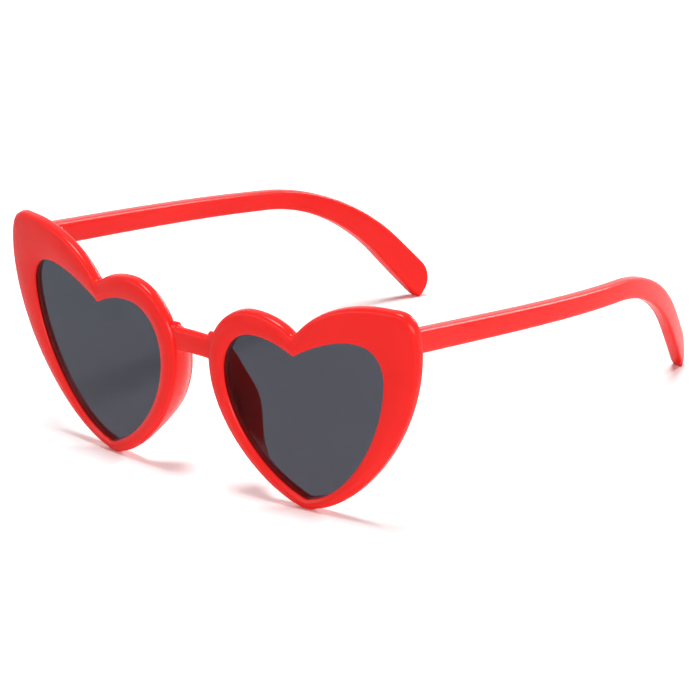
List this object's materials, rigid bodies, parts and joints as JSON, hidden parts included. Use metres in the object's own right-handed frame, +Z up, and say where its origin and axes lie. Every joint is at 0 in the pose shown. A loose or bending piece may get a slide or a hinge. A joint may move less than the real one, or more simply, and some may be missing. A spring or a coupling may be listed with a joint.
{
  "type": "heart shaped sunglasses",
  "caption": "Cat-eyed sunglasses with heart shaped moulded rims, dark tinted lenses, a slim bridge with moulded nose pads, and slab temples on small metal hinges that fold.",
  "frame": {"origin": "on the ground, at the middle of the box round the open glasses", "axes": "+Z up, +X towards the wearer's left, -Y the way the lenses face; the glasses stand open on the two heart tips and the two temple tips"},
  "size_m": [0.1418, 0.1538, 0.0618],
  "materials": {
    "front_plastic": "polished red",
    "temple_plastic": "polished red",
    "lens_tint": "clear dark grey tint",
    "hinge_metal": "plated",
    "screw_metal": "plated"
  },
  "bodies": {
    "front": {"front_frame": "front_plastic", "lens_left": "lens_tint", "lens_right": "lens_tint", "hinge_front_leaf_left": "hinge_metal", "hinge_front_leaf_right": "hinge_metal", "hinge_screw_left": "screw_metal", "hinge_screw_right": "screw_metal", "front_leaf_screws_left": "screw_metal", "front_leaf_screws_right": "screw_metal"},
    "left_temple": {"temple_left": "temple_plastic", "hinge_temple_leaf_left": "hinge_metal", "temple_leaf_screws_left": "screw_metal"},
    "right_temple": {"temple_right": "temple_plastic", "hinge_temple_leaf_right": "hinge_metal", "temple_leaf_screws_right": "screw_metal"}
  },
  "joints": [
    {"name": "left_fold", "type": "hinge", "parent": "front", "child": "left_temple", "pos_m": [0.0633, -0.06389, 0.05274], "axis": [0, -0.0842, 0.9965], "range_deg": [0, 86]},
    {"name": "right_fold", "type": "hinge", "parent": "front", "child": "right_temple", "pos_m": [-0.0633, -0.06389, 0.05274], "axis": [0, 0.0842, -0.9965], "range_deg": [0, 78]}
  ]
}
